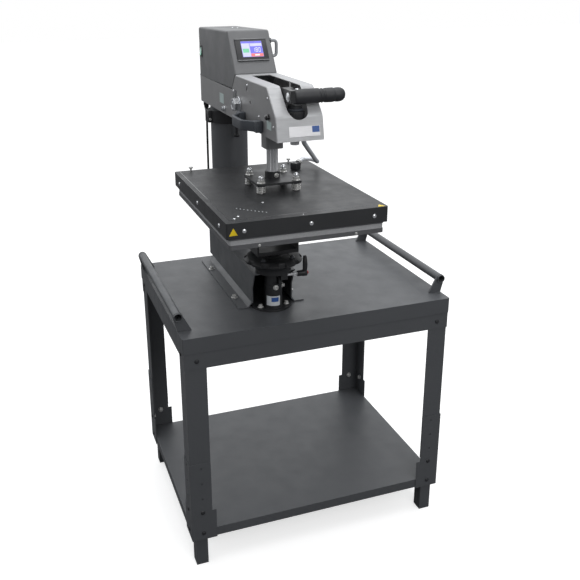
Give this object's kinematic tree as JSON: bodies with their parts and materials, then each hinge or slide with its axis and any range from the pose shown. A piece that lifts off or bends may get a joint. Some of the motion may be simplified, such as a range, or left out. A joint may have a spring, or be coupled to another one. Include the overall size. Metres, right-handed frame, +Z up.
{
  "type": "heat press",
  "caption": "Swing-away flat heat press with a lever-driven head on a round column, standing on a steel trolley table with a lower shelf.",
  "frame": {"origin": "on the floor, at the middle of the footprint box of the table and press without the mains lead", "axes": "+Z up, +Y towards the back of the press, +X to the right as the operator stands in front"},
  "size_m": [0.8202, 0.784, 1.4907],
  "materials": {
    "table_paint": "fine textured powder coat",
    "base_paint": "fine textured powder coat",
    "black_paint": "satin black coat",
    "head_paint": "satin metallic grey coat",
    "silver_paint": "satin silver coat",
    "housing_paint": "fine textured powder coat",
    "heater_paint": "fine textured powder coat",
    "steel": "ground",
    "braid": "braided wire over a hose",
    "chrome": "polished plating",
    "aluminium": "milled",
    "silicone": "matt foam silicone",
    "black_plastic": "moulded",
    "cord_sheath": "smooth flexible sheath",
    "red_plastic": "moulded",
    "green_plastic": "translucent moulded",
    "bronze": "turned"
  },
  "bodies": {
    "root": {"table_top": "table_paint", "top_frame": "table_paint", "shelf": "table_paint", "table_handle_left": "table_paint", "table_handle_right": "table_paint", "upper_leg_front_left": "table_paint", "upper_leg_front_right": "table_paint", "upper_leg_rear_left": "table_paint", "upper_leg_rear_right": "table_paint", "lower_leg_front_left": "table_paint", "lower_leg_front_right": "table_paint", "lower_leg_rear_left": "table_paint", "lower_leg_rear_right": "table_paint", "base_shell": "base_paint", "pedestal": "black_paint", "column_tube": "base_paint", "column_bush": "bronze", "stop_collar": "black_paint", "receiver_casting": "black_paint", "clamp_stud": "steel", "mains_lead": "cord_sheath", "lead_coil": "cord_sheath", "mains_plug": "black_plastic"},
    "socket_lever": {"clamp_lever": "black_plastic"},
    "socket_button": {"clamp_button": "red_plastic"},
    "platen": {"platen_carrier": "black_paint", "lower_platen": "aluminium", "silicone_pad": "silicone"},
    "head": {"head_plate_left": "head_paint", "head_plate_right": "head_paint", "head_cover": "silver_paint", "control_housing": "housing_paint", "display_module": "black_plastic", "switch_frame": "black_plastic", "ram_guide": "head_paint", "swing_hub": "steel", "swing_handle": "black_plastic", "housing_handle": "housing_paint", "pivot_pin": "chrome", "lead_gland": "black_plastic", "heater_conduit": "braid"},
    "rocker": {"power_rocker": "green_plastic"},
    "knob": {"pressure_knob": "black_plastic"},
    "lock": {"swing_lock": "black_plastic"},
    "lever": {"lever_arm": "black_paint", "lever_grip": "black_plastic"},
    "beam": {"pressure_beam": "steel"},
    "ram": {"ram_shaft": "steel", "mount_plate": "black_paint", "spring_front_left": "steel", "spring_front_right": "steel", "spring_rear_left": "steel", "spring_rear_right": "steel"},
    "heater": {"heater_plate": "aluminium", "heater_cover": "heater_paint", "heater_connector": "black_paint", "stud_front_left": "chrome", "stud_front_right": "chrome", "stud_rear_left": "chrome", "stud_rear_right": "chrome"}
  },
  "joints": [
    {"name": "head_swing", "type": "hinge", "parent": "root", "child": "head", "pos_m": [-0.105, 0.2875, 1.2582], "axis": [0, 0, -1], "range_deg": [0, 90], "deforming": ["mains_lead"]},
    {"name": "lever_swing", "type": "hinge", "parent": "head", "child": "lever", "pos_m": [-0.115, -0.0245, 1.3052], "axis": [-1, 0, 0], "range_deg": [0, 60]},
    {"name": "ram_slide", "type": "slide", "parent": "head", "child": "ram", "axis": [0, 0, 1], "range_m": [0, 0.0451], "deforming": ["heater_conduit"]},
    {"name": "beam_turn", "type": "hinge", "parent": "head", "child": "beam", "pos_m": [-0.095, -0.2445, 1.3127], "axis": [1, 0, 0], "range_deg": [0, 20.7]},
    {"name": "heater_float", "type": "slide", "parent": "ram", "child": "heater", "axis": [0, 0, 1], "range_m": [0, 0.003], "stiffness_N_per_m": 8000, "springref_m": -0.004, "deforming": ["spring_front_left", "spring_front_right", "spring_rear_left", "spring_rear_right", "heater_conduit"]},
    {"name": "knob_turn", "type": "hinge", "parent": "head", "child": "knob", "pos_m": [-0.105, -0.2875, 1.3132], "axis": [0, 0, 1], "continuous": true},
    {"name": "rocker_tip", "type": "hinge", "parent": "head", "child": "rocker", "pos_m": [-0.166, 0.3665, 1.4132], "axis": [0, 1, 0], "range_deg": [-18, 0]},
    {"name": "lock_pull", "type": "slide", "parent": "head", "child": "lock", "axis": [0, 0, -1], "range_m": [0, 0.008], "stiffness_N_per_m": 600, "springref_m": -0.01},
    {"name": "socket_lever_turn", "type": "hinge", "parent": "root", "child": "socket_lever", "pos_m": [-0.027, -0.1415, 0.8402], "axis": [1, 0, 0], "range_deg": [0, 90]},
    {"name": "socket_button_press", "type": "slide", "parent": "socket_lever", "child": "socket_button", "axis": [-1, 0, 0], "range_m": [0, 0.003], "stiffness_N_per_m": 300, "springref_m": -0.002},
    {"name": "platen_turn", "type": "hinge", "parent": "root", "child": "platen", "pos_m": [-0.105, -0.1195, 0.8882], "axis": [0, 0, 1], "range_deg": [-90, 90]}
  ],
  "couplings": [
    {"joint": "ram_slide", "follows": "lever_swing", "m_per_rad": 0.04297},
    {"joint": "beam_turn", "follows": "lever_swing", "ratio": 0.34283}
  ]
}
